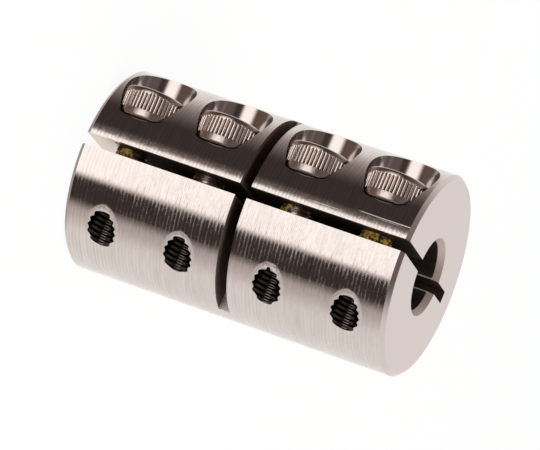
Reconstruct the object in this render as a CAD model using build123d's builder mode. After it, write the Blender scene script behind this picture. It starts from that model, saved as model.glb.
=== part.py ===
from build123d import *
from math import cos, pi, radians, sin, tan
import os

# Clamp shaft coupling: a turned bar, bored through, slit along its length and sawn half across
# at its middle, so that each half grips its own shaft with two cap screws
# +Z runs along the bore, from the middle of the lower end face
# The slit opens towards -Y, the screw heads look towards -X

# Bar
OUTER_DIAMETER = 20.0
LENGTH = 33.7
END_CHAMFER = 0.4

# Bore, with the cone of a centre drill at both ends
BORE_DIAMETER = 7.0
LEAD_IN_DIAMETER = 7.75
LEAD_IN_ANGLE = 60.0

# Saw cuts: the slit runs past the bore and stops at a hinge wall, the cross slot stops at a web
SLIT_WIDTH = 1.2
HINGE_WALL = 3.1
CROSS_SLOT_WIDTH = 1.2
CROSS_SLOT_DEPTH = 8.2
CUT_OVERRUN = 1.0

# Cap screw, size 3 x 8
THREAD_DIAMETER = 3.0
THREAD_ROOT_DIAMETER = 2.4
SCREW_LENGTH = 8.0
TIP_CHAMFER = 0.35
HEAD_DIAMETER = 5.9
HEAD_HEIGHT = 3.0
HEAD_CHAMFER = 0.15

# Straight knurl on the head, between a plain band at the seat and one at the top
KNURL_DIAMETER = 5.86
KNURL_DEPTH = 0.2
KNURL_COUNT = 42
SEAT_BAND_HEIGHT = 0.7
TOP_BAND_HEIGHT = 0.55

# Key socket in the head, with the cone of its pilot drill
SOCKET_ACROSS_FLATS = 2.5
SOCKET_DEPTH = 1.3
SOCKET_CONE_ANGLE = 120.0
SOCKET_MOUTH_DIAMETER = 2.96

# Nylon patch that fills the thread over part of its turn
PATCH_LENGTH = 4.0
PATCH_TIP_DISTANCE = 1.4
PATCH_ANGLE = 180.0
PATCH_STAND_OUT = 0.03

# Fits between the screws and the bar
HEAD_CLEARANCE = 0.35
SHANK_CLEARANCE = 0.1
THREAD_CLEARANCE = 0.07

# Where the screws go: the seats are measured from the middle of the slit
SEAT_DISTANCE = 3.55
POCKET_WALL = 0.775

# Each screw stopped at its own angle, counted from the slit's mouth
SCREW_TURNS = (-68.0, 199.0, -105.0, 19.0)

outer_radius = OUTER_DIAMETER / 2
bore_radius = BORE_DIAMETER / 2
shank_radius = THREAD_DIAMETER / 2
root_radius = THREAD_ROOT_DIAMETER / 2
head_radius = HEAD_DIAMETER / 2
pocket_radius = head_radius + HEAD_CLEARANCE
shank_hole_radius = shank_radius + SHANK_CLEARANCE
tapped_hole_radius = shank_radius + THREAD_CLEARANCE
middle = LENGTH / 2

# The pockets just reach the front of the bar, so that they open towards -Y at their floors,
# and they keep the same wall to the end faces as to the cross slot
screw_offset = outer_radius - pocket_radius
outer_station = middle - POCKET_WALL - pocket_radius
inner_station = CROSS_SLOT_WIDTH / 2 + POCKET_WALL + pocket_radius
screw_heights = [middle + side for side in (-outer_station, -inner_station, inner_station, outer_station)]

# The two sides of the bar that the screws are worked from, with local X along the bore
head_side = Plane(origin=(-outer_radius, -screw_offset, 0), x_dir=(0, 0, 1), z_dir=(-1, 0, 0))
tapped_side = Plane(origin=(outer_radius, -screw_offset, 0), x_dir=(0, 0, 1), z_dir=(1, 0, 0))


def seat_plane(height, turn):
    """The pocket floor under one head: Z towards the head, X turned away from the slit's mouth."""
    angle = radians(turn)
    return Plane(
        origin=(-SEAT_DISTANCE, -screw_offset, height),
        x_dir=(0, -cos(angle), sin(angle)),
        z_dir=(-1, 0, 0),
    )


def knurl_outline():
    """Crests and roots of the straight knurl, in turn round the head."""
    crest_radius = KNURL_DIAMETER / 2
    half_pitch = pi / KNURL_COUNT
    return [
        (radius * cos(step * half_pitch), radius * sin(step * half_pitch))
        for step, radius in enumerate((crest_radius, crest_radius - KNURL_DEPTH) * KNURL_COUNT)
    ]


os.makedirs("parts", exist_ok=True)

# One-piece body
with BuildPart() as coupling_body:
    with BuildSketch():
        Circle(outer_radius)
    extrude(amount=LENGTH)
    chamfer(coupling_body.edges().filter_by(GeomType.CIRCLE), length=END_CHAMFER)

    # Through bore with its two lead-in cones
    with Locations(Plane.XY.offset(LENGTH), Plane.XY.rotated((180, 0, 0))):
        CounterSinkHole(
            radius=bore_radius,
            counter_sink_radius=LEAD_IN_DIAMETER / 2,
            counter_sink_angle=LEAD_IN_ANGLE,
        )

    # Pockets and clearance holes in one lip, tapped holes without a chamfer in the other
    with Locations(head_side):
        with Locations([(height, 0) for height in screw_heights]):
            CounterBoreHole(
                radius=shank_hole_radius,
                counter_bore_radius=pocket_radius,
                counter_bore_depth=outer_radius - SEAT_DISTANCE,
                depth=outer_radius,
            )
    with Locations(tapped_side):
        with Locations([(height, 0) for height in screw_heights]):
            Hole(radius=tapped_hole_radius, depth=outer_radius)

    # Slit through the bore to the hinge wall
    slit_mouth = -outer_radius - CUT_OVERRUN
    slit_end = outer_radius - HINGE_WALL
    with BuildSketch():
        with Locations((0, (slit_mouth + slit_end) / 2)):
            Rectangle(SLIT_WIDTH, slit_end - slit_mouth)
    extrude(amount=LENGTH, mode=Mode.SUBTRACT)

    # Cross slot between the two halves
    cross_slot_end = CROSS_SLOT_DEPTH - outer_radius
    with BuildSketch(Plane.YZ):
        with Locations(((slit_mouth + cross_slot_end) / 2, middle)):
            Rectangle(cross_slot_end - slit_mouth, CROSS_SLOT_WIDTH)
    extrude(amount=outer_radius + CUT_OVERRUN, both=True, mode=Mode.SUBTRACT)

coupling_body.part.label = "coupling_body"
export_step(coupling_body.part, "parts/coupling_body.step")

# Four cap screws, each with its patch
patch_inner_end = PATCH_TIP_DISTANCE - SCREW_LENGTH
top_band_start = HEAD_HEIGHT - TOP_BAND_HEIGHT
socket_radius = SOCKET_ACROSS_FLATS / 2
socket_mouth_radius = SOCKET_MOUTH_DIAMETER / 2
socket_break = socket_mouth_radius - socket_radius
sunk = (Align.CENTER, Align.CENTER, Align.MAX)
cone_depth = socket_radius / tan(radians(SOCKET_CONE_ANGLE / 2))

for number, (height, turn) in enumerate(zip(screw_heights, SCREW_TURNS), start=1):
    seat = seat_plane(height, turn)

    # The patch takes the room of the thread's grooves, from its root to just past its crests
    with BuildPart() as thread_lock_patch:
        with BuildSketch(seat.offset(patch_inner_end)):
            with BuildLine():
                outer_arc = CenterArc((0, 0), shank_radius + PATCH_STAND_OUT, -PATCH_ANGLE / 2, PATCH_ANGLE)
                inner_arc = CenterArc((0, 0), root_radius, -PATCH_ANGLE / 2, PATCH_ANGLE)
                Line(outer_arc @ 0, inner_arc @ 0)
                Line(outer_arc @ 1, inner_arc @ 1)
            make_face()
        extrude(amount=PATCH_LENGTH)
    thread_lock_patch.part.label = f"thread_lock_patch_{number}"
    export_step(thread_lock_patch.part, f"parts/thread_lock_patch_{number}.step")

    with BuildPart() as clamp_screw:
        # Shank, drawn at the thread's outer diameter
        with BuildSketch(seat):
            Circle(shank_radius)
        extrude(amount=-SCREW_LENGTH)
        tip_edge = clamp_screw.edges().filter_by(GeomType.CIRCLE).sort_by(Axis.X)[-1]
        chamfer(tip_edge, length=TIP_CHAMFER)
        add(thread_lock_patch.part, mode=Mode.SUBTRACT)

        # Head: the plain band at the seat, the knurl, the plain band at the top
        with BuildSketch(seat):
            Circle(head_radius)
        extrude(amount=SEAT_BAND_HEIGHT)
        with BuildSketch(seat.offset(SEAT_BAND_HEIGHT)):
            Polygon(*knurl_outline(), align=None)
        extrude(amount=top_band_start - SEAT_BAND_HEIGHT)
        with BuildSketch(seat.offset(top_band_start)):
            Circle(head_radius)
        extrude(amount=TOP_BAND_HEIGHT)
        top_edge = clamp_screw.edges().filter_by(GeomType.CIRCLE).sort_by(Axis.X)[0]
        chamfer(top_edge, length=HEAD_CHAMFER)

        # Key socket, broken at its mouth, with the cone of its pilot drill below
        with BuildSketch(seat.offset(HEAD_HEIGHT)):
            RegularPolygon(socket_radius, 6, major_radius=False)
        extrude(amount=-SOCKET_DEPTH, mode=Mode.SUBTRACT)
        with Locations(seat.offset(HEAD_HEIGHT)):
            Cone(socket_radius, socket_mouth_radius, socket_break, align=sunk, mode=Mode.SUBTRACT)
        with Locations(seat.offset(HEAD_HEIGHT - SOCKET_DEPTH)):
            Cone(0, socket_radius, cone_depth, align=sunk, mode=Mode.SUBTRACT)
    clamp_screw.part.label = f"clamp_screw_{number}"
    export_step(clamp_screw.part, f"parts/clamp_screw_{number}.step")
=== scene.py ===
"""Looks of a clamp shaft coupling: the turned, sawn and drilled stainless body, its four knurled
cap screws with their thread patches, the tapped threads, and the studio they stand in."""

import math
import random

import bmesh
import bpy
from mathutils import Matrix, Vector, noise


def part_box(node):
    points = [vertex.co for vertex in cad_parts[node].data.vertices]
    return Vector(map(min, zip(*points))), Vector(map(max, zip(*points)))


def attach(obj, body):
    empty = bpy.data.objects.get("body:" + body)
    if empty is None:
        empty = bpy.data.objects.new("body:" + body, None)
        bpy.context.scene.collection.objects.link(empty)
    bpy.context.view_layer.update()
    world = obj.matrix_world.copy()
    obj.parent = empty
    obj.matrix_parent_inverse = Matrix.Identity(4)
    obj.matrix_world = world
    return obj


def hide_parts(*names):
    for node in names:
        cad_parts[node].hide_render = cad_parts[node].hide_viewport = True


bl_info = {
    "name": "Clamp Shaft Coupling",
    "version": (1, 0, 0),
    "blender": (4, 5, 0),
    "location": "View3D > Sidebar > Coupling",
    "description": "Finishes a clamp shaft coupling, its cap screws and its tapped holes",
    "category": "Object",
}

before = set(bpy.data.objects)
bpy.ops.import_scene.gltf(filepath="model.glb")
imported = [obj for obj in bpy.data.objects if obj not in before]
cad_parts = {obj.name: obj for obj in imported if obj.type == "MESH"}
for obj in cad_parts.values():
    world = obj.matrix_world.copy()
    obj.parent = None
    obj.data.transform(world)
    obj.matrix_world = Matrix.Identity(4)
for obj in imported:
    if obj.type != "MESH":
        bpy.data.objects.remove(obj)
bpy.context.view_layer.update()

MM = 0.001
FULL_TURN = 2 * math.pi
SCREW_NUMBERS = (1, 2, 3, 4)

# The body's main sizes, read from its highest corner: it stands at height 0 round the Z axis
BODY_RADIUS, _, BODY_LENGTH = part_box("coupling_body")[1]


class ScrewPlace:
    """Where one cap screw and its patch sit, read from their CAD nodes."""

    def __init__(self, number):
        low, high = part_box(f"clamp_screw_{number}")
        patch_low, patch_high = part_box(f"thread_lock_patch_{number}")
        self.head_top, self.tip = low.x, high.x
        self.y, self.z = (low.y + high.y) / 2, (low.z + high.z) / 2
        self.patch_start, self.patch_end = patch_low.x, patch_high.x

        # The patch's middle, as an angle from the slit's mouth
        corners = [v.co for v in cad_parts[f"thread_lock_patch_{number}"].data.vertices]
        side = sum((Vector((0, c.y - self.y, c.z - self.z)) for c in corners), Vector())
        self.turn = math.atan2(side.z, -side.y)

    def fit(self, piece, seat):
        """Turns the mesh, with its Z to the head and its X to the patch's middle, and sets it here."""
        z_axis = Vector((-1, 0, 0))
        x_axis = Vector((0, -math.cos(self.turn), math.sin(self.turn)))
        piece.data.transform(Matrix((x_axis, z_axis.cross(x_axis), z_axis)).transposed().to_4x4())
        piece.matrix_world = Matrix.Translation((seat, self.y, self.z))

    def point(self, x, radius, angle):
        """A point round the screw's axis, its angle counted from the slit's mouth."""
        return (x, self.y - radius * math.cos(angle), self.z - radius * math.sin(angle))


PLACES = {number: ScrewPlace(number) for number in SCREW_NUMBERS}

# The pockets' floors, one head's height below the heads' tops
HEAD_HEIGHT = 3 * MM
HEAD_SEAT = PLACES[1].head_top + HEAD_HEIGHT

# The materials count in millimetres: how far the inner and the outer screws stand from the body's
# middle, half the width of both saw cuts, how far back the cross slot's floor is, and the bore
HOLE_STATIONS = tuple((PLACES[number].z - BODY_LENGTH / 2) / MM for number in (3, 4))
CUT_HALF = 0.6
CROSS_FLOOR = -1.8
BORE_RADIUS = 3.5

# One ridge of the knurl, from groove to groove, as shares of its depth
KNURL_PROFILE = (0.0, 0.28, 0.8, 0.95, 1.0, 0.95, 0.8, 0.28)

# One pitch of a thread, as (share of the pitch, share of the depth)
THREAD_PROFILE = (
    (0.0, 1.0), (0.06, 0.97), (0.1, 0.86), (0.33, 0.1), (0.4, 0.0),
    (0.6, 0.0), (0.67, 0.1), (0.9, 0.86), (0.94, 0.97),
)

# The same for a tapped hole, whose crests and roots are both rounded
TAPPED_PROFILE = (
    (0.0, 1.0), (0.07, 0.98), (0.13, 0.9), (0.37, 0.1), (0.43, 0.02),
    (0.5, 0.0), (0.57, 0.02), (0.63, 0.1), (0.87, 0.9), (0.93, 0.98),
)

# The colour sockets of a Mix node
MIX_FACTOR, MIX_FIRST, MIX_SECOND, MIX_RESULT = 0, 6, 7, 2


class BodyFinish(bpy.types.PropertyGroup):
    """How the body was cut."""

    steel: bpy.props.FloatVectorProperty(
        name="Steel", description="Colour of the bare stainless steel",
        default=(0.67, 0.605, 0.575), size=3, min=0, max=1, subtype="COLOR")
    roughness: bpy.props.FloatProperty(
        name="Turned roughness", description="Roughness of the turned outside",
        default=0.07, min=0, max=1, subtype="FACTOR")
    # This colour is painted shade: it darkens the tapped holes, the pockets' depths and a line along
    # each pocket's opening.
    recess_shade: bpy.props.FloatVectorProperty(
        name="Soot", description="Colour of the oily film in the pockets and the tapped holes",
        default=(0.035, 0.025, 0.019), size=3, min=0, max=1, subtype="COLOR")
    # This colour is painted shade: it darkens the bore and the walls of the saw cuts, most in the slit.
    inner_shade: bpy.props.FloatVectorProperty(
        name="Grime", description="Colour of what the saw left on the walls of its cuts",
        default=(0.11, 0.068, 0.05), size=3, min=0, max=1, subtype="COLOR")
    end_steel: bpy.props.FloatVectorProperty(
        name="End faces", description="Colour of the turned end faces",
        default=(0.62, 0.535, 0.525), size=3, min=0, max=1, subtype="COLOR")
    cone_steel: bpy.props.FloatVectorProperty(
        name="Cones", description="Colour of the cones at the bore's ends",
        default=(0.56, 0.42, 0.36), size=3, min=0, max=1, subtype="COLOR")
    # The slit's walls take this darker, warmer colour; the painted shade covers it all but at the slit's
    # lower end.
    rubbed: bpy.props.FloatVectorProperty(
        name="Rubbed walls", description="Colour of the slit's walls where they are rubbed clean",
        default=(0.6, 0.47, 0.33), size=3, min=0, max=1, subtype="COLOR")
    feed: bpy.props.FloatProperty(
        name="Feed", description="Distance between the turning marks",
        default=0.376 * MM, min=0.02 * MM, unit="LENGTH")
    feed_slope: bpy.props.FloatProperty(
        name="Mark slope", description="Steepness of the turning marks", default=0.07, min=0)
    ring_tilt: bpy.props.FloatProperty(
        name="Ring tilt", description="How far each ring's reflection strays", default=0.014, min=0)
    drag: bpy.props.FloatProperty(
        name="Drag", description="How far the skin rolls in round a tapped hole", default=0.26, min=0)
    pocket_radius: bpy.props.FloatProperty(
        name="Pocket radius", description="Radius of the pockets that the heads sink in",
        default=3.3 * MM, unit="LENGTH")
    pocket_corner: bpy.props.FloatProperty(
        name="Pocket corner", description="Round that the cutter left at the pockets' floors",
        default=0.5 * MM, unit="LENGTH")


class ScrewShape(bpy.types.PropertyGroup):
    """A size 3 cap screw."""

    head_height: bpy.props.FloatProperty(
        name="Head height", description="From the seat to the top", default=HEAD_HEIGHT, unit="LENGTH")
    head_radius: bpy.props.FloatProperty(
        name="Head radius", description="Radius of the plain bands and of the knurl's crests",
        default=3.05 * MM, unit="LENGTH")
    knurl_depth: bpy.props.FloatProperty(
        name="Knurl depth", description="From crest to groove", default=0.15 * MM, unit="LENGTH")
    knurl_count: bpy.props.IntProperty(
        name="Knurl count", description="Ridges round the head", default=48, min=6, step=6)
    seat_band: bpy.props.FloatProperty(
        name="Seat band", description="Height of the plain band at the seat",
        default=0.8 * MM, unit="LENGTH")
    top_band: bpy.props.FloatProperty(
        name="Top band", description="Height of the plain band at the top",
        default=0.46 * MM, unit="LENGTH")
    socket_flats: bpy.props.FloatProperty(
        name="Socket", description="Key size across flats", default=2.5 * MM, unit="LENGTH")
    socket_depth: bpy.props.FloatProperty(
        name="Socket depth", description="To the end of the flats", default=1.3 * MM, unit="LENGTH")
    pitch: bpy.props.FloatProperty(
        name="Pitch", description="Thread pitch", default=0.5 * MM, unit="LENGTH")
    crest_radius: bpy.props.FloatProperty(
        name="Thread crest", description="Outer radius of the thread",
        default=1.49 * MM, unit="LENGTH")
    root_radius: bpy.props.FloatProperty(
        name="Thread root", description="Root radius of the thread",
        default=1.2 * MM, unit="LENGTH")
    steel: bpy.props.FloatVectorProperty(
        name="Screw steel", description="Colour of the screws",
        default=(0.62, 0.53, 0.485), size=3, min=0, max=1, subtype="COLOR")


class PatchShape(bpy.types.PropertyGroup):
    """The nylon patch pressed into each screw's thread."""

    sweep: bpy.props.FloatProperty(
        name="Sweep", description="Angle that the patch covers",
        default=math.radians(180), subtype="ANGLE")
    lump: bpy.props.FloatProperty(
        name="Lumps", description="Height of the lumps inside the slit",
        default=0.16 * MM, unit="LENGTH")
    nylon: bpy.props.FloatVectorProperty(
        name="Nylon", description="Colour of the patch",
        default=(0.6, 0.4, 0.06), size=3, min=0, max=1, subtype="COLOR")
    stain: bpy.props.FloatVectorProperty(
        name="Stain", description="Colour of the oil and swarf in it",
        default=(0.05, 0.022, 0.008), size=3, min=0, max=1, subtype="COLOR")


class TappedHoles(bpy.types.PropertyGroup):
    """The threads cut in the lip opposite the heads."""

    minor_radius: bpy.props.FloatProperty(
        name="Minor radius", description="Radius of the tapping drill",
        default=1.33 * MM, unit="LENGTH")
    major_radius: bpy.props.FloatProperty(
        name="Major radius", description="Radius at the bottom of the thread",
        default=1.5 * MM, unit="LENGTH")
    outer_radius: bpy.props.FloatProperty(
        name="Outer radius", description="Where the threaded wall meets the body",
        default=1.66 * MM, unit="LENGTH")


class Studio(bpy.types.PropertyGroup):
    """Camera, light and cards."""

    camera_place: bpy.props.FloatVectorProperty(
        name="Camera", description="Camera position",
        default=(0.078794, -0.373596, 0.147209), size=3, subtype="TRANSLATION")
    camera_right: bpy.props.FloatVectorProperty(
        name="Camera right", description="Direction to the right of the picture",
        default=(-0.37987, 0.23188, 0.89551), size=3, subtype="DIRECTION")
    camera_down: bpy.props.FloatVectorProperty(
        name="Camera down", description="Direction down the picture",
        default=(0.90428, 0.29704, 0.30668), size=3, subtype="DIRECTION")
    lens: bpy.props.FloatProperty(
        name="Lens", description="Focal length", default=281.68, min=1, unit="CAMERA")
    lamp_power: bpy.props.FloatProperty(
        name="Lamp", description="Power of the overhead lamp", default=2.6, min=0, unit="POWER")
    softbox: bpy.props.FloatProperty(
        name="Softbox", description="Brightness of the card in front", default=1.55, min=0)


class Link:
    """An output socket of a node. Arithmetic on it adds Math nodes."""

    def __init__(self, finish, socket):
        self.finish, self.socket = finish, socket

    def math(self, operation, *others):
        """A Math node that takes this link first."""
        inputs = dict(enumerate((self, *others)))
        return self.finish.add("ShaderNodeMath", {"operation": operation}, inputs)

    def __add__(self, other):
        return self.math("ADD", other)

    def __sub__(self, other):
        return self.math("SUBTRACT", other)

    def __rsub__(self, other):
        return self.finish.add("ShaderNodeMath", {"operation": "SUBTRACT"}, {0: other, 1: self})

    def __mul__(self, other):
        return self.math("MULTIPLY", other)

    def __truediv__(self, other):
        return self.math("DIVIDE", other)

    def __neg__(self):
        return self.math("MULTIPLY", -1)

    def __abs__(self):
        return self.math("ABSOLUTE")

    __radd__ = __add__
    __rmul__ = __mul__


class Finish:
    """The nodes of a material, or of the studio's world, started afresh."""

    def __init__(self, owner):
        self.owner = owner
        owner.use_nodes = True
        self.tree = owner.node_tree
        self.tree.nodes.clear()

    def add(self, kind, settings=None, inputs=None, output=0):
        """One node: its settings first, then its sockets' values or links."""
        node = self.tree.nodes.new(kind)
        for name, value in (settings or {}).items():
            setattr(node, name, value)
        for name, value in (inputs or {}).items():
            if isinstance(value, Link):
                self.tree.links.new(value.socket, node.inputs[name])
            else:
                node.inputs[name].default_value = value
        return Link(self, node.outputs[output]) if node.outputs else None

    def place(self):
        """The point on the piece, in millimetres."""
        return self.scale(self.add("ShaderNodeTexCoord", output="Object"), 1 / MM)

    def normal(self):
        """The direction that the surface faces."""
        return self.add("ShaderNodeNewGeometry", output="Normal")

    def split(self, vector):
        """A vector's three numbers."""
        return [self.add("ShaderNodeSeparateXYZ", None, {0: vector}, axis) for axis in "XYZ"]

    def join(self, x, y, z):
        """Three numbers as a vector or a colour."""
        return self.add("ShaderNodeCombineXYZ", None, {"X": x, "Y": y, "Z": z})

    def scale(self, vector, factor):
        """A vector made longer by a factor."""
        return self.add(
            "ShaderNodeVectorMath", {"operation": "SCALE"}, {0: vector, "Scale": factor})

    def dot(self, first, second):
        """How far one vector goes along another."""
        return self.add(
            "ShaderNodeVectorMath", {"operation": "DOT_PRODUCT"}, {0: first, 1: second}, "Value")

    def push(self, normal, direction, amount):
        """The normal pushed along a direction."""
        step = self.scale(direction, amount)
        return self.add("ShaderNodeVectorMath", {"operation": "ADD"}, {0: normal, 1: step})

    def rise(self, value, start, end):
        """0 before start, 1 after end, smooth between them."""
        return self.add(
            "ShaderNodeMapRange", {"interpolation_type": "SMOOTHSTEP"},
            {"Value": value, "From Min": start, "From Max": end})

    def noise(self, vector, scale, detail=2.0, roughness=0.5):
        """Noise about zero, mostly within a half either way. A scale for each axis stretches it."""
        if isinstance(scale, tuple):
            stretch = {0: vector, 1: scale}
            vector = self.add("ShaderNodeVectorMath", {"operation": "MULTIPLY"}, stretch)
            scale = 1.0
        level = self.add(
            "ShaderNodeTexNoise", None,
            {"Vector": vector, "Scale": scale, "Detail": detail, "Roughness": roughness})
        return level - 0.5

    def mix(self, factor, first, second):
        """One colour or the other."""
        first, second = (
            colour if isinstance(colour, Link) else (*colour, 1) for colour in (first, second))
        inputs = {MIX_FACTOR: factor, MIX_FIRST: first, MIX_SECOND: second}
        return self.add("ShaderNodeMix", {"data_type": "RGBA"}, inputs, MIX_RESULT)

    def bump(self, height, strength, distance):
        """The normal of a surface with this height on it."""
        inputs = {"Height": height, "Strength": strength, "Distance": distance}
        return self.add("ShaderNodeBump", None, inputs)

    def surface(self, sockets):
        """Ends the nodes in a Principled BSDF with these sockets, and gives the material."""
        shader = self.add("ShaderNodeBsdfPrincipled", None, sockets)
        self.add("ShaderNodeOutputMaterial", None, {"Surface": shader})
        return self.owner


def shade(colour, factor):
    """A colour made darker or lighter by a factor."""
    return tuple(min(1, factor * part) for part in colour)


def nearest_hole(from_middle, y):
    """How far a point is from the nearest screw's axis: up the body, across it, and in all."""
    inner, outer = HOLE_STATIONS
    side = abs(from_middle) - (inner + outer) / 2
    along = (abs(side) - (outer - inner) / 2) * side.math("SIGN") * from_middle.math("SIGN")
    across = y - PLACES[1].y / MM
    return along, across, (along * along + across * across).math("SQRT")


def pocket_line(f, x, hole_distance, cuts):
    """A mask for a painted shadow line along a pocket's opening, round the corner its cutter left."""
    corner = cuts.pocket_corner / MM
    corner_x = HEAD_SEAT / MM - corner
    above_corner = (x - corner_x).math("MAXIMUM", 0.0)
    beside_corner = (hole_distance - (cuts.pocket_radius / MM - corner)).math("MAXIMUM", 0.0)
    past_corner = above_corner * above_corner + beside_corner * beside_corner
    past_corner = past_corner.math("SQRT") - corner
    return (1 - f.rise(past_corner, 0.08, 0.16)) * f.rise(x, corner_x, corner_x + 0.3)


def machined_steel(cuts, holes):
    """The body's stainless: turned outside and ends, milled pockets, sawn cuts, tapped holes."""
    f = Finish(bpy.data.materials.new("machined_steel"))
    point = f.place()
    x, y, z = f.split(point)
    normal = f.normal()
    radius = (x * x + y * y).math("SQRT")
    outward = f.join(x / radius, y / radius, 0.0)
    around = f.join(-y / radius, x / radius, 0.0)
    upward = (0, 0, 1)
    facing_out = f.dot(normal, outward)
    facing_end = abs(f.dot(normal, upward))
    half_length = BODY_LENGTH / 2 / MM
    from_middle = z - half_length
    off_middle = abs(from_middle)
    body_radius = BODY_RADIUS / MM
    skin = f.rise(radius, body_radius - 0.4, body_radius - 0.3)
    end_face = f.rise(facing_end, 0.9, 0.95) * f.rise(off_middle, half_length - 0.05, half_length - 0.01)

    # The tapped holes, and the outside up to their rims
    minor, major, wall = (
        size / MM for size in (holes.minor_radius, holes.major_radius, holes.outer_radius))
    along, across, hole_distance = nearest_hole(from_middle, y)
    on_tapped_side = f.rise(x, CUT_HALF + 0.05, CUT_HALF + 0.15)
    below_rim = on_tapped_side * (1 - f.rise(hole_distance, wall - 0.11, wall - 0.06))
    below_rim = below_rim * (1 - f.rise(radius, body_radius - 0.02, body_radius - 0.005))
    outside = f.rise(facing_out, 0.8, 0.9) * skin * (1 - below_rim)
    tapped = on_tapped_side * (1 - f.rise(hole_distance, wall + 0.04, wall + 0.14)) * (1 - outside)

    # Painted shade on the walls of both cuts, all but the slit's lowest few millimetres
    in_slit = 1 - f.rise(abs(x), CUT_HALF + 0.01, CUT_HALF + 0.04)
    near_middle = 1 - f.rise(off_middle, CUT_HALF + 0.01, CUT_HALF + 0.04)
    at_floor = f.rise(y, CROSS_FLOOR - 0.05, CROSS_FLOOR - 0.01)
    cross_floor = near_middle * at_floor * (1 - outside) * (1 - in_slit)
    cross_walls = near_middle * (1 - at_floor)
    cross_walls = cross_walls * (1 - f.rise(radius, body_radius - 0.08, body_radius - 0.02))
    slit_walls = in_slit * (1 - f.rise(radius, body_radius - 0.45, body_radius - 0.2))
    sawn = slit_walls.math("MAXIMUM", cross_walls)
    sawn = sawn * (1 - end_face) * f.rise(radius, BORE_RADIUS - 0.05, BORE_RADIUS + 0.05)
    shaded_walls = sawn * f.rise(z + f.noise(point, 1.3, 3.0) * 4.0, 3.0, 4.0)

    # The bore, its bare edges along the slit, and the cones and chamfers at the ends
    in_bore = 1 - f.rise(radius, BORE_RADIUS + 0.01, BORE_RADIUS + 0.03)
    bore_edge = in_bore * (1 - f.rise(abs(x), CUT_HALF + 0.06, CUT_HALF + 0.18)) * f.rise(y, 2, 3)
    lead_in = f.rise(-facing_out, 0.5, 0.6) * f.rise(facing_end, 0.3, 0.4)
    end_chamfer = f.rise(facing_out, 0.5, 0.6) * f.rise(facing_end, 0.5, 0.6)

    # Each ring of the tool's path is a little different
    rings_per_mm = MM / cuts.feed
    ring = f.noise(point, (0.15, 0.15, rings_per_mm), 2.0, 0.7)
    slow = f.noise(point, (0.08, 0.08, 0.3), 1.0)
    patchy = 0.35 + f.rise(slow, -0.15, 0.1) * 0.65
    wave = (z * (FULL_TURN * rings_per_mm) + slow * 3.0).math("SINE")
    mark = wave * wave * wave * patchy
    less_sharp = 0.3 + 0.7 * f.rise(z, 2.5, 9)
    turned = outside * (0.12 + 0.88 * f.rise(x, -1.5, 1.5) * less_sharp)
    normal = f.push(normal, around, turned * (ring + slow * 0.6) * cuts.ring_tilt)
    normal = f.push(normal, upward, turned * (mark + ring * 0.5) * cuts.feed_slope)
    face_wave = (radius * 40.0).math("SINE")
    normal = f.push(normal, outward, end_face * face_wave * 0.01)

    # Long scratches on the heads' lip beside the slit, and skin torn by the tool on the other lip
    beside_slit = f.rise(x, -2.6, -2.0) * (1 - f.rise(x, -1.3, -1.1)) * f.rise(z, 21, 25)
    scratch = f.rise(f.noise(point, (7.0, 0.0, 0.11), 1.0), 0.17, 0.22) * beside_slit * outside
    normal = f.push(normal, around, scratch * 0.09)
    speck = f.rise(f.noise(point, (3.5, 3.5, 5.0), 3.0, 0.7), -0.05, 0.25)
    streak = f.rise(f.noise(point, (0.7, 0.7, 3.5), 3.0, 0.7) + wave * 0.11, -0.05, 0.24)
    streak = streak * 0.5 + f.rise(wave, 0.1, 1) * patchy * 0.25
    torn = outside * (speck * 0.3 + f.rise(x, -0.5, 0.5) * less_sharp * streak)

    # The tap dragged the skin in round each hole
    drag = outside * f.rise(x, 1, 2) * (1 - f.rise(across, -0.9, 0.4))
    drag = drag * (1 - f.rise(hole_distance, wall - 0.06, wall + 0.26))
    ripple = (hole_distance * 26.0 + f.noise(point, 2.2, 2.0) * 9.0).math("SINE")
    inward = f.join(0.0, -across / hole_distance, -along / hole_distance)
    normal = f.push(normal, inward, drag * (cuts.drag + ripple * 0.11))
    normal = f.add("ShaderNodeVectorMath", {"operation": "NORMALIZE"}, {0: normal})

    # Bare steel, a little lighter or darker from ring to ring
    tone = outside * (ring * 0.9 + mark * 0.25 + slow * 0.3) + f.noise(point, 0.7, 3.0) * 0.15
    fine = f.noise(point, (1.2, 1.2, 1.6 * rings_per_mm), 3.0, 0.75)
    tone = tone + outside * fine * (0.9 - 0.6 * f.rise(x, 5, 8))
    colour = f.mix(f.rise(tone, -0.8, 0.6), shade(cuts.steel, 0.74), shade(cuts.steel, 1.09))

    # Painted shade in the tapped holes, darker on the thread's flanks and on their lower side
    flank = f.rise(hole_distance, minor + 0.01, minor + 0.04)
    flank = flank * (1 - f.rise(hole_distance, major - 0.04, major - 0.01))
    low_side = 1 - f.rise(along, -0.6, 0.5)
    colour = f.mix(tapped * (0.66 + 0.3 * flank), colour, cuts.recess_shade)
    colour = f.mix(tapped * low_side * 0.9, colour, cuts.recess_shade)

    # Painted shade along each pocket's opening on the outside, and deep inside the pockets
    opening = outside * pocket_line(f, x, hole_distance, cuts)
    colour = f.mix(opening * 0.95, colour, cuts.recess_shade)
    in_pocket = (1 - f.rise(x, -1.7, -1.5)) * (1 - outside) * (1 - f.rise(y, -3.3, -3.2))
    in_pocket = in_pocket * (1 - end_face) * (1 - end_chamfer)
    colour = f.mix(in_pocket * f.rise(x, -7.0, -4.6) * 0.9, colour, cuts.recess_shade)
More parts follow.
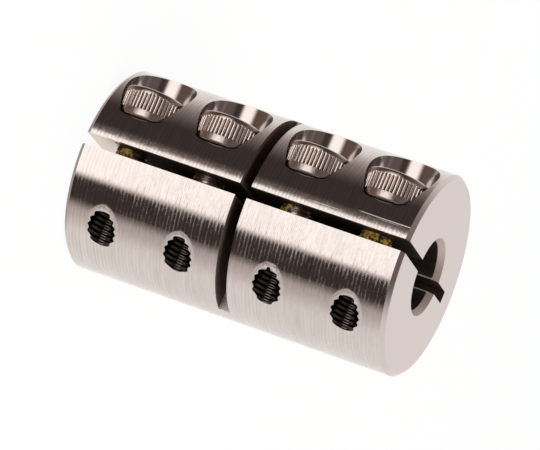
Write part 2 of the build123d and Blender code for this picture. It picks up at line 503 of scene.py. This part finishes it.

    # End faces, bore, cones and saw cuts, with painted shade in the bore and on the cuts' walls
    colour = f.mix(end_face * 0.9, colour, cuts.end_steel)
    colour = f.mix(in_bore * (1 - bore_edge) * 0.7, colour, shade(cuts.inner_shade, 1.6))
    colour = f.mix(lead_in * 0.5, colour, cuts.cone_steel)
    colour = f.mix(sawn * in_slit * 0.6, colour, cuts.rubbed)
    # The painted shade is darker in the narrow slit than in the cross slot
    inner_shade = f.mix(in_slit, cuts.inner_shade, shade(cuts.inner_shade, 0.3))
    colour = f.mix(shaded_walls * 0.98, colour, inner_shade)
    roughness = cuts.roughness + turned * ring * 0.2 + torn * 0.36 + sawn * 0.15 + shaded_walls * 0.3
    roughness = roughness + cross_floor * 0.4 + end_face * 0.12 + lead_in * 0.42
    roughness = roughness + end_chamfer * 0.2 + in_bore * 0.2 + in_pocket * 0.08
    metallic = 1 - shaded_walls * 0.95 - in_bore * 0.045 - bore_edge * 0.8
    metallic = metallic - lead_in * 0.35 - cross_floor * 0.4
    return f.surface({
        "Base Color": colour, "Metallic": metallic, "Roughness": roughness,
        "Specular IOR Level": 0.2, "Normal": normal})


def screw_steel(shape):
    """The screws' darker stainless: dull in the knurl's grooves, rubbed bright on its crests."""
    f = Finish(bpy.data.materials.new("screw_steel"))
    point = f.place()
    x, y, z = f.split(point)
    height = -x
    radius = (y * y + z * z).math("SQRT")
    groove = shape.head_radius - shape.knurl_depth
    crest = f.rise(radius, groove / MM, (groove + 0.7 * shape.knurl_depth) / MM)
    knurl_top = (shape.head_height - shape.top_band) / MM
    top_band = f.rise(height, knurl_top - 0.05, knurl_top + 0.1)
    knurl_end = shape.seat_band / MM
    seat_band = 1 - f.rise(height, knurl_end - 0.05, knurl_end + 0.05)

    # The rings that turning left on the head's flat top
    facing_up = abs(f.dot(f.normal(), (1, 0, 0)))
    rings = f.noise(f.join(radius * 7.0, 0.0, 0.0), 1.0) * f.rise(facing_up, 0.9, 0.95)

    on_head = f.rise(height, -0.1, 0.1) * f.rise(radius, 2, 2.2) * (1 - f.rise(facing_up, 0.35, 0.6))
    dull = shade(shape.steel, 0.35)
    colour = f.mix(on_head * (1 - 0.45 * top_band), shape.steel, dull)
    rubbed = crest * (1 - top_band) * (1 - 0.35 * seat_band)
    colour = f.mix(rubbed, colour, shade(shape.steel, 1.5))
    colour = f.mix(f.rise(rings, 0.02, 0.12) * 0.4, colour, dull)
    # Painted shade: the head's underside is coloured nearly black
    shade_under_head = (1 - f.rise(height, 0.06, 0.12)) * f.rise(radius, 1.6, 2)
    colour = f.mix(shade_under_head * 0.9, colour, shade(shape.steel, 0.1))
    return f.surface({
        "Base Color": colour, "Metallic": 1.0, "Roughness": 0.3 + f.noise(point, 3.0) * 0.1,
        "Normal": f.bump(f.noise(point, 9.0, 3.0) + rings * 1.5, 0.25, 0.015 * MM)})


def patch_nylon(shape):
    """Nylon smeared over the thread, stained where oil and swarf got in."""
    f = Finish(bpy.data.materials.new("patch_nylon"))
    point = f.place()
    stain = f.rise(f.noise(point, 2.1, 3.0, 0.6), -0.06, 0.06)
    return f.surface({
        "Base Color": f.mix(stain, shape.nylon, shape.stain),
        "Roughness": 0.42 + stain * 0.2, "Coat Weight": 0.25 - stain * 0.2,
        "Normal": f.bump(f.noise(point, 6.0, 3.0), 0.6, 0.05 * MM)})


def finish_mesh(bm, name, material, crease=35):
    """Turns a bmesh into an object: welded, facing out, smooth but for its real edges."""
    bmesh.ops.remove_doubles(bm, verts=bm.verts, dist=0.0005 * MM)
    bmesh.ops.recalc_face_normals(bm, faces=bm.faces)
    mesh = bpy.data.meshes.new(name)
    bm.to_mesh(mesh)
    bm.free()
    mesh.shade_smooth()
    mesh.set_sharp_from_angle(angle=math.radians(crease))
    mesh.materials.append(material)
    piece = bpy.data.objects.new(name, mesh)
    bpy.context.scene.collection.objects.link(piece)
    return piece


def angles_round(count):
    """Even angles round a full turn."""
    return [FULL_TURN * i / count for i in range(count)]


def round_point(radius, angle, height):
    """A point round the Z axis."""
    return (radius * math.cos(angle), radius * math.sin(angle), height)


def join_rings(bm, lower, upper):
    """Faces between two closed rings of as many vertices."""
    count = len(lower)
    for i in range(count):
        j = (i + 1) % count
        bm.faces.new((lower[i], lower[j], upper[j], upper[i]))


def join_rows(bm, row, next_row):
    """Faces between two open rows of as many vertices."""
    for i in range(len(row) - 1):
        bm.faces.new((row[i], row[i + 1], next_row[i + 1], next_row[i]))


def helix_wall(bm, columns, pitch, start, end, profile, point_at):
    """A threaded wall whose rows follow the helix.

    point_at(angle, height, share) gives a vertex. Heights are held between start and end, so
    that both ends are closed rings. Returns the first and the last ring.
    """
    step = len(profile)
    first = math.floor(start / pitch) - 2
    last = math.ceil(end / pitch) + 1
    rows = []
    for turn in range(first, last + 1):
        for place, share in profile:
            row = []
            for angle in angles_round(columns):
                height = pitch * (turn + place + angle / FULL_TURN)
                row.append(bm.verts.new(point_at(angle, height, share)))
            rows.append(row)
    for i in range(len(rows) - step - 1):
        join_rows(bm, [*rows[i], rows[i + step][0]], [*rows[i + 1], rows[i + step + 1][0]])
    return rows[0], rows[-1]


def smooth_step(value):
    """0 below 0, 1 above 1, smooth between them."""
    value = min(1, max(0, value))
    return value * value * (3 - 2 * value)


def screw_head(bm, shape):
    """A cap screw's head, from its socket over its top to its seat. Returns the ring at the seat."""
    samples = len(KNURL_PROFILE)
    count = shape.knurl_count * samples
    angles = angles_round(count)
    top = shape.head_height
    flats = shape.socket_flats / 2
    mouth_break = 0.23 * MM
    mouth = flats + mouth_break
    rng = random.Random(3)
    fade_shift = [rng.uniform(-0.07, 0.07) * MM for _ in range(shape.knurl_count)]

    def hexagon(angle):
        """How far the socket's wall is from its axis."""
        return flats / math.cos(angle % (FULL_TURN / 6) - FULL_TURN / 12)

    def ring(radius_at, height_at):
        """A closed ring, whose radius and height may be functions of the angle."""
        made = []
        for angle in angles:
            radius = radius_at(angle) if callable(radius_at) else radius_at
            height = height_at(angle) if callable(height_at) else height_at
            made.append(bm.verts.new(round_point(radius, angle, height)))
        return made

    def knurl_ring(height, share, shifted):
        """A ring that has this share of the knurl's depth."""
        made = []
        for i, angle in enumerate(angles):
            ridge = KNURL_PROFILE[i % samples]
            radius = shape.head_radius - shape.knurl_depth * (1 - ridge) * share
            shift = fade_shift[i // samples] if shifted else 0
            made.append(bm.verts.new(round_point(radius, angle, height + shift)))
        return made

    # Socket: pilot cone, floor, flats, broken mouth
    floor = top - shape.socket_depth
    cone_depth = flats / math.tan(math.radians(60))
    rings = [
        ring(flats * 0.02, floor - cone_depth * 0.98),
        ring(flats * 0.5, floor - cone_depth * 0.5),
        ring(flats * 0.999, floor),
        ring(hexagon, floor),
        ring(hexagon, lambda angle: top - (mouth - hexagon(angle))),
        ring(mouth, top),
    ]

    # Top face and its rounded rim
    shoulder, shoulder_height, rim = 0.14 * MM, 0.36 * MM, 0.04 * MM
    top_radius = shape.head_radius - shoulder
    rings.append(ring(top_radius - rim * 2, top))
    rings.append(ring(top_radius - rim, top))
    rim_steps = 8
    for step in range(1, rim_steps + 1):
        bend = math.radians(90 * step / rim_steps)
        rings.append(ring(
            top_radius + shoulder * math.sin(bend),
            top - rim - shoulder_height * (1 - math.cos(bend))))

    # Knurl between the plain bands, its ridges running out at different heights at the top
    knurl_top = top - shape.top_band
    for drop, share in ((0, 0), (0.06, 0.3), (0.13, 0.85), (0.2, 1)):
        rings.append(knurl_ring(knurl_top - drop * MM, share, True))
    for rise, share in ((0.09, 1), (0.04, 0.8), (0, 0)):
        rings.append(knurl_ring(shape.seat_band + rise * MM, share, False))

    # Rounded rim at the seat
    low_rim = 0.25 * MM
    for degrees in (0, 30, 60, 90):
        bend = math.radians(degrees)
        rings.append(ring(
            shape.head_radius - low_rim * (1 - math.cos(bend)), low_rim * (1 - math.sin(bend))))
    for inner, outer in zip(rings, rings[1:]):
        join_rings(bm, inner, outer)
    bm.faces.new(rings[0])
    return rings[-1]


def screw_shank(bm, shape, length, columns):
    """A threaded shank, plain just under the head and chamfered at its tip. Returns its top ring."""
    tip = -length
    run_out = -0.5 * MM
    tip_radius = shape.crest_radius - 0.34 * MM
    neck = (shape.crest_radius + shape.root_radius) / 2
    depth = shape.crest_radius - shape.root_radius

    def shank_point(angle, height, share):
        held = min(run_out, max(tip, height))
        radius = shape.root_radius + depth * share
        radius += (neck - radius) * smooth_step((held - run_out + shape.pitch) / shape.pitch)
        radius = min(radius, tip_radius + held - tip)
        return round_point(radius, angle, held)

    tip_ring, neck_ring = helix_wall(
        bm, columns, shape.pitch, tip, run_out, THREAD_PROFILE, shank_point)
    bm.faces.new(tip_ring)
    root_ring = [bm.verts.new(round_point(neck, angle, 0)) for angle in angles_round(columns)]
    join_rings(bm, neck_ring, root_ring)
    return root_ring


def screw_mesh(shape, length, material):
    """A cap screw: Z towards the head, origin at the seat."""
    bm = bmesh.new()
    seat_ring = screw_head(bm, shape)
    count = len(seat_ring)

    # Four of the seat's vertices meet each column of the shank
    per_column = 4
    columns = count // per_column
    root_ring = screw_shank(bm, shape, length, columns)
    for i in range(columns):
        outer = [seat_ring[(per_column * i + k) % count] for k in range(per_column + 1)]
        bm.faces.new((root_ring[(i + 1) % columns], root_ring[i], *outer))
    return finish_mesh(bm, "cap_screw", material, crease=31)


def patch_mesh(number, place, shape, screw, seat, material):
    """A lumpy strip of nylon over the thread, thick where the slit leaves it room."""
    bm = bmesh.new()
    columns, rows = 72, 90
    start, end = seat - place.patch_end, seat - place.patch_start
    inner_radius = screw.root_radius
    stand_out, sunk = 0.03 * MM, 0.02 * MM
    slit_reach = 1 * MM
    grid = []
    for i in range(rows + 1):
        height = start + (end - start) * i / rows
        inside_slit = smooth_step(1.8 * (1 - abs(seat - height) / slit_reach))
        line = []
        for j in range(columns + 1):
            share = j / columns
            spot = Vector((share * 9, height / MM * 2.2, number * 17.0))
            ragged = noise.noise(Vector((height / MM * 1.6, j // (columns // 2) * 9, number * 5.0)))
            angle = shape.sweep * (share - 0.5) * (1 + 0.08 * ragged)
            lump = 0.5 + 0.9 * noise.noise(spot) + 0.4 * noise.noise(spot * 2.7)
            edge = smooth_step(min(share, 1 - share) * 12)
            radius = inner_radius + (screw.crest_radius - inner_radius) * (0.45 + 0.55 * edge)
            radius += edge * (stand_out + max(0, lump) * shape.lump * inside_slit)
            line.append((radius, angle, height))
        grid.append(line)

    outer = [[bm.verts.new(round_point(*spot)) for spot in line] for line in grid]
    inner = [
        [bm.verts.new(round_point(inner_radius - sunk, angle, height)) for _, angle, height in line]
        for line in grid
    ]
    for wall in (outer, inner):
        for low, high in zip(wall, wall[1:]):
            join_rows(bm, low, high)
    for j in (0, columns):
        join_rows(bm, [line[j] for line in outer], [line[j] for line in inner])
    for i in (0, rows):
        join_rows(bm, outer[i], inner[i])
    return finish_mesh(bm, f"nylon_patch_{number}", material, crease=60)


def pocket_corner_mesh(number, place, cuts, material):
    """The round between a pocket's wall and its floor, cut off where the pocket opens to the front."""
    bm = bmesh.new()
    columns, rows = 96, 10
    sunk = 0.01 * MM
    corner = cuts.pocket_corner
    section = [(HEAD_SEAT + sunk, cuts.pocket_radius - corner)]
    for row in range(rows + 1):
        bend = math.radians(90 * row / rows)
        section.append((
            HEAD_SEAT - corner * (1 - math.cos(bend)),
            cuts.pocket_radius - corner * (1 - math.sin(bend))))

    def arc(x, radius):
        """From one side of the pocket's open front to the other, its ends on the turned outside."""
        start = math.acos((math.sqrt(BODY_RADIUS**2 - x**2) + place.y) / radius)
        made = []
        for column in range(columns + 1):
            angle = start + (FULL_TURN - 2 * start) * column / columns
            made.append(bm.verts.new(place.point(x, radius, -angle)))
        return made

    round_arcs = [arc(x, radius) for x, radius in section]
    wall_arcs = [arc(x, cuts.pocket_radius + sunk) for x, _ in section]
    loop = [*round_arcs, *reversed(wall_arcs)]
    for near, far in zip(loop, loop[1:] + loop[:1]):
        join_rows(bm, near, far)
    for i in (0, columns):
        join_rows(bm, [line[i] for line in round_arcs], [line[i] for line in wall_arcs])
    return finish_mesh(bm, f"pocket_corner_{number}", material)


def tapped_thread_mesh(number, place, holes, pitch, material):
    """The thread in the lip opposite one head, from the screw's tip out to the turned outside."""
    bm = bmesh.new()
    columns = 96
    angles = angles_round(columns)
    start = place.tip + 0.05 * MM
    depth = holes.major_radius - holes.minor_radius
    phase = number * 0.37 * pitch
    search_step = 0.01 * MM

    def turned_x(angle, radius):
        """How far out the turned outside is."""
        y = place.y - radius * math.cos(angle)
        return math.sqrt(BODY_RADIUS**2 - y**2)

    def depth_share(position):
        """The profile's share of the depth, at this many pitches along."""
        position %= 1
        for (before, low), (after, high) in zip(TAPPED_PROFILE, (*TAPPED_PROFILE[1:], (1.0, 1.0))):
            if position <= after:
                break
        return low + (high - low) * (position - before) / (after - before)

    def thread_radius(share):
        """Full share is the crest, which points inwards here."""
        return holes.major_radius - depth * share

    # Where each column of the wall comes out to the outside
    ends = []
    for angle in angles:
        height = start
        while True:
            share = depth_share((height + phase) / pitch - angle / FULL_TURN)
            radius = thread_radius(share)
            if height >= turned_x(angle, radius):
                break
            height += search_step
        ends.append((turned_x(angle, radius), radius))

    def wall_point(angle, height, share):
        end, end_radius = ends[round(angle / FULL_TURN * columns) % columns]
        held = height - phase
        radius = thread_radius(share)
        if held <= start:
            held, radius = start, holes.major_radius
        elif held >= end:
            held, radius = end, end_radius
        return place.point(held, radius, angle)

    highest = max(end for end, _ in ends)
    inner_ring, mouth_ring = helix_wall(
        bm, columns, pitch, start + phase, highest + phase, TAPPED_PROFILE, wall_point)

    # The outside round the mouth lies just over the body's, and the wall behind it closes the piece
    lift, rim_depth = 0.002 * MM, 0.2 * MM
    rings = [mouth_ring]
    for share, sunk in ((0.25, 0), (0.6, 0), (1, 0), (1, rim_depth)):
        ring = []
        for angle, (_, end_radius) in zip(angles, ends):
            radius = end_radius + (holes.outer_radius - end_radius) * share
            x = turned_x(angle, radius) + lift - sunk
            ring.append(bm.verts.new(place.point(x, radius, angle)))
        rings.append(ring)
    rings.append([bm.verts.new(place.point(start, holes.outer_radius, angle)) for angle in angles])
    rings.append(inner_ring)
    for near, far in zip(rings, rings[1:]):
        join_rings(bm, near, far)
    return finish_mesh(bm, f"tapped_thread_{number}", material, crease=30)


class COUPLING_OT_finish_body(bpy.types.Operator):
    """Give the body its machined steel"""

    bl_idname = "coupling.finish_body"
    bl_label = "Finish Body"

    def execute(self, context):
        steel = machined_steel(context.scene.coupling_body, context.scene.coupling_holes)
        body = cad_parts["coupling_body"]
        body.data.materials.clear()
        body.data.materials.append(steel)
        return {"FINISHED"}


class COUPLING_OT_round_pockets(bpy.types.Operator):
    """Leave the cutter's round at the floor of each pocket"""

    bl_idname = "coupling.round_pockets"
    bl_label = "Round Pockets"

    def execute(self, context):
        steel = bpy.data.materials["machined_steel"]
        for number, place in PLACES.items():
            piece = pocket_corner_mesh(number, place, context.scene.coupling_body, steel)
            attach(piece, "body")
        return {"FINISHED"}


class COUPLING_OT_tap_holes(bpy.types.Operator):
    """Cut the threads in the lip opposite the heads"""

    bl_idname = "coupling.tap_holes"
    bl_label = "Tap Holes"

    def execute(self, context):
        steel = bpy.data.materials["machined_steel"]
        pitch = context.scene.coupling_screw.pitch
        for number, place in PLACES.items():
            piece = tapped_thread_mesh(
                number, place, context.scene.coupling_holes, pitch, steel)
            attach(piece, "body")
        return {"FINISHED"}


class COUPLING_OT_fit_screws(bpy.types.Operator):
    """Put a cap screw in each pocket"""

    bl_idname = "coupling.fit_screws"
    bl_label = "Fit Screws"

    def execute(self, context):
        shape = context.scene.coupling_screw
        steel = screw_steel(shape)
        for number, place in PLACES.items():
            seat = place.head_top + shape.head_height
            screw = screw_mesh(shape, place.tip - seat, steel)
            screw.name = f"cap_screw_{number}"
            place.fit(screw, seat)
            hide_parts(f"clamp_screw_{number}")
            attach(screw, f"screw_{number}")
        return {"FINISHED"}


class COUPLING_OT_press_patches(bpy.types.Operator):
    """Press a nylon patch into each screw's thread"""

    bl_idname = "coupling.press_patches"
    bl_label = "Press Patches"

    def execute(self, context):
        shape = context.scene.coupling_patch
        screw_shape = context.scene.coupling_screw
        nylon = patch_nylon(shape)
        for number, place in PLACES.items():
            seat = place.head_top + screw_shape.head_height
            patch = patch_mesh(number, place, shape, screw_shape, seat, nylon)
            place.fit(patch, seat)
            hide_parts(f"thread_lock_patch_{number}")
            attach(patch, f"screw_{number}")
        return {"FINISHED"}


def studio_world(studio):
    """White to the camera. To the metal, a light room with dark flags beside a softbox."""
    world = bpy.data.worlds.new("studio")
    bpy.context.scene.world = world
    f = Finish(world)
    x, y, z = f.split(f.add("ShaderNodeTexCoord", output="Generated"))

    # In degrees: how far round from the front, towards the heads' side, and how far up
    degrees = 180 / math.pi
    side = (-x).math("ARCTAN2", -y) * degrees
    height = z.math("ARCSINE") * degrees

    def between(value, start, end, soft_start, soft_end):
        """1 from start to end, each of them as soft as it says."""
        return f.rise(value, start - soft_start, start + soft_start) * (
            1 - f.rise(value, end - soft_end, end + soft_end))

    def towards(level, target, share):
        """The level, gone this share of the way to the target."""
        return level + share * (target - level)

    # How light the room is, going round from the front to the heads' side and to the tapped side
    heads_side = f.rise(side, 56, 98) * 0.34 + f.rise(side, 84, 126) * 0.66
    tapped_side = f.rise(-side, 54, 70) * 0.6 + f.rise(-side, 66, 100) * 0.4
    open_room = heads_side + tapped_side
    level = towards(0.055 + f.rise(height, 28, 38) * 0.1, 1, open_room)

    # The ceiling, which comes lower beyond the heads' side and is light just behind its top
    ceiling = f.rise(side, 26, 44) * 0.32 + f.rise(-side, 60, 90) * 0.3
    ceiling = 0.14 + ceiling * (1 - f.rise(height, 65, 72))
    ceiling = ceiling + between(side, -30, 15, 12, 8) * f.rise(height, 67, 72) * 0.11
    level = towards(level, ceiling, f.rise(height + f.rise(side, 95, 120) * 22.0, 55, 68))
    level = towards(level, 0.8, f.rise(y, 0.05, 0.13) * f.rise(height, 75, 80))

    # The dark ground, and the softbox in front with its dimmer edge
    ground = f.rise(-height, 36, 50)
    level = towards(level, 0.16 + open_room * 0.3, ground)
    card_height = between(height, -33, 8, 9, 5)
    level = level + between(side, 20, 30.5, 2, 4) * card_height * 0.15
    card = between(side, -28.5, 25.2, 4.5, 0.6) * card_height
    level = towards(level, studio.softbox, card)

    # The flags are a warmer grey than the rest
    warm = (1 - open_room) * (1 - card)
    green = level * (0.985 - warm * (0.18 + ground * 0.09))
    blue = level * (0.965 - warm * (0.22 + ground * 0.18))
    room = f.add("ShaderNodeBackground", None, {"Color": f.join(level, green, blue)})
    white = f.add("ShaderNodeBackground", None, {"Color": (1, 1, 1, 1)})
    camera = f.add("ShaderNodeLightPath", output="Is Camera Ray")
    both = f.add("ShaderNodeMixShader", None, {0: camera, 1: room, 2: white})
    f.add("ShaderNodeOutputWorld", None, {"Surface": both})


def studio_floor():
    """A white floor that keeps a soft shadow."""
    bm = bmesh.new()
    bmesh.ops.create_circle(bm, cap_ends=True, segments=64, radius=3)
    f = Finish(bpy.data.materials.new("studio_floor"))
    paint = f.add("ShaderNodeBsdfDiffuse", None, {"Color": (0.9, 0.9, 0.9, 1)})
    glow = f.add("ShaderNodeEmission", None, {"Color": (1, 1, 1, 1), "Strength": 1.02})
    path = f.add("ShaderNodeLightPath", output="Is Camera Ray")
    both = f.add("ShaderNodeMixShader", None, {0: path * 0.9, 1: paint, 2: glow})
    f.add("ShaderNodeOutputMaterial", None, {"Surface": both})
    floor = finish_mesh(bm, "studio_floor", f.owner)
    floor.visible_glossy = False


class COUPLING_OT_set_stage(bpy.types.Operator):
    """Set up the camera, the floor, the lamp and the room"""

    bl_idname = "coupling.set_stage"
    bl_label = "Set Stage"

    def execute(self, context):
        studio = context.scene.coupling_studio
        lens = bpy.data.cameras.new("camera")
        lens.lens = studio.lens
        lens.sensor_width, lens.sensor_fit = 36, "HORIZONTAL"
        lens.clip_start, lens.clip_end = 0.01, 20
        camera = bpy.data.objects.new("camera", lens)
        right, down = Vector(studio.camera_right), Vector(studio.camera_down)
        turned = Matrix((right, -down, -right.cross(down))).transposed()
        camera.matrix_world = Matrix.Translation(studio.camera_place) @ turned.to_4x4()
        context.scene.collection.objects.link(camera)
        context.scene.camera = camera
        context.scene.view_settings.view_transform = "Standard"
        studio_world(studio)
        studio_floor()

        lamp = bpy.data.lights.new("overhead_lamp", "AREA")
        lamp.shape, lamp.size, lamp.energy = "DISK", 0.5, studio.lamp_power
        overhead = bpy.data.objects.new("overhead_lamp", lamp)
        overhead.location = (0.1, -0.25, 0.6)
        overhead.rotation_euler = (-overhead.location).to_track_quat("-Z", "Y").to_euler()
        overhead.visible_glossy = False
        context.scene.collection.objects.link(overhead)
        return {"FINISHED"}


class COUPLING_PT_panel(bpy.types.Panel):
    """The coupling's steps, in order"""

    bl_idname = "COUPLING_PT_panel"
    bl_label = "Clamp Shaft Coupling"
    bl_space_type = "VIEW_3D"
    bl_region_type = "UI"
    bl_category = "Coupling"

    def draw(self, context):
        for step in STEPS:
            self.layout.operator(step.bl_idname)


STEPS = (
    COUPLING_OT_set_stage,
    COUPLING_OT_finish_body,
    COUPLING_OT_round_pockets,
    COUPLING_OT_tap_holes,
    COUPLING_OT_fit_screws,
    COUPLING_OT_press_patches,
)
SETTINGS = {
    "coupling_body": BodyFinish,
    "coupling_screw": ScrewShape,
    "coupling_patch": PatchShape,
    "coupling_holes": TappedHoles,
    "coupling_studio": Studio,
}


def register():
    for group in (*SETTINGS.values(), *STEPS, COUPLING_PT_panel):
        bpy.utils.register_class(group)
    for name, group in SETTINGS.items():
        setattr(bpy.types.Scene, name, bpy.props.PointerProperty(type=group))


def unregister():
    for name in SETTINGS:
        delattr(bpy.types.Scene, name)
    for group in (COUPLING_PT_panel, *STEPS, *SETTINGS.values()):
        bpy.utils.unregister_class(group)


def main():
    register()
    bpy.ops.coupling.set_stage()
    bpy.ops.coupling.finish_body()
    bpy.ops.coupling.round_pockets()
    bpy.ops.coupling.tap_holes()
    bpy.ops.coupling.fit_screws()
    bpy.ops.coupling.press_patches()


if __name__ == "__main__":
    main()
